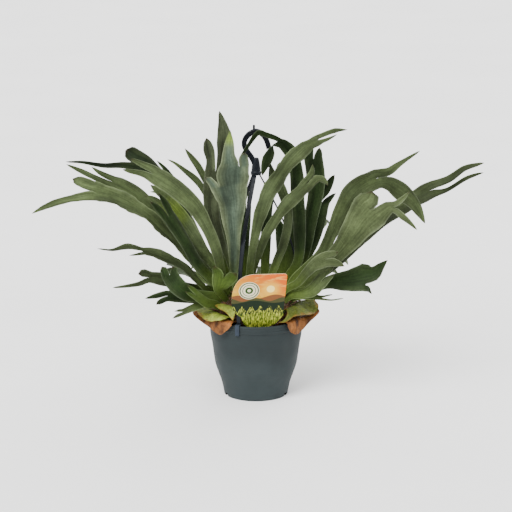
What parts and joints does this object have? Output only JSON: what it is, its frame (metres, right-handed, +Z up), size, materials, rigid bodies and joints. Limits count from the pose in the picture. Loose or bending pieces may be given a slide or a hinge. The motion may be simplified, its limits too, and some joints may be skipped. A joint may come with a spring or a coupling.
{
  "type": "potted staghorn fern",
  "caption": "Staghorn fern with forked antler fronds and clasping shield fronds, planted in a round hanging pot with a clip-on strap hanger, a hook and a plant label.",
  "frame": {"origin": "middle of the flat underside of the pot", "axes": "+Z up through the pot, +X to the right as seen from the label's side, -Y towards that side"},
  "size_m": [0.6494, 0.3215, 0.4253],
  "materials": {
    "pot": "satin",
    "hanger": "satin",
    "soil": "matte",
    "rhizome": "matte",
    "card": "satin",
    "shield_green": "satin",
    "shield_brown": "matte",
    "frond": "matte",
    "frond_dark": "matte",
    "frond_pale": "matte"
  },
  "bodies": {
    "root": {"hanging_pot": "pot", "potting_mix": "soil", "rhizome": "rhizome", "hanger_hook": "hanger", "hanger_arm_front": "hanger", "hanger_arm_right": "hanger", "hanger_arm_back": "hanger", "label_card": "card", "antler_left_long": "frond", "antler_left_two_lobed": "frond", "antler_left_knob": "frond_dark", "antler_left_broad": "frond", "antler_left_lit": "frond", "antler_left_wedge": "frond_dark", "antler_left_narrow": "frond_dark", "antler_centre_thin_pair": "frond", "antler_front_grey": "frond_pale", "antler_back_tall": "frond_dark", "antler_left_low": "frond", "antler_left_lower": "frond", "antler_left_front_dark": "frond_dark", "antler_left_low_tip": "frond_dark", "antler_left_small_low": "frond", "antler_left_short": "frond", "antler_front_folded": "frond", "antler_front_long": "frond", "antler_over_hook": "frond_dark", "antler_centre_tipped": "frond", "antler_right_tall_dark": "frond_dark", "antler_right_toothed": "frond_dark", "antler_centre_back_dark": "frond_dark", "antler_centre_strap": "frond", "antler_centre_dark_broad": "frond_dark", "antler_centre_dark_strap": "frond_dark", "antler_centre_behind_arm": "frond_dark", "antler_right_upper": "frond", "antler_right_flare": "frond_pale", "antler_right_far": "frond", "antler_right_low_broad": "frond_dark", "antler_right_front_low": "frond_pale", "antler_right_front_small": "frond", "antler_right_thin_low": "frond", "antler_rear_left_upper": "frond", "antler_rear_left_low": "frond_dark", "antler_rear_centre_tall": "frond_pale", "antler_rear_right_tall": "frond", "antler_rear_right_reaching": "frond", "antler_rear_drooping": "frond_dark", "antler_rear_left_arching": "frond_pale", "antler_rear_right_low": "frond", "shield_right_brown": "shield_brown", "shield_right_green": "shield_green", "shield_left_brown": "shield_brown", "shield_left_green": "shield_green", "shield_left_tongue": "shield_green", "shield_rear_left": "shield_brown", "shield_back_left": "shield_green", "shield_back_right": "shield_brown"}
  },
  "joints": []
}
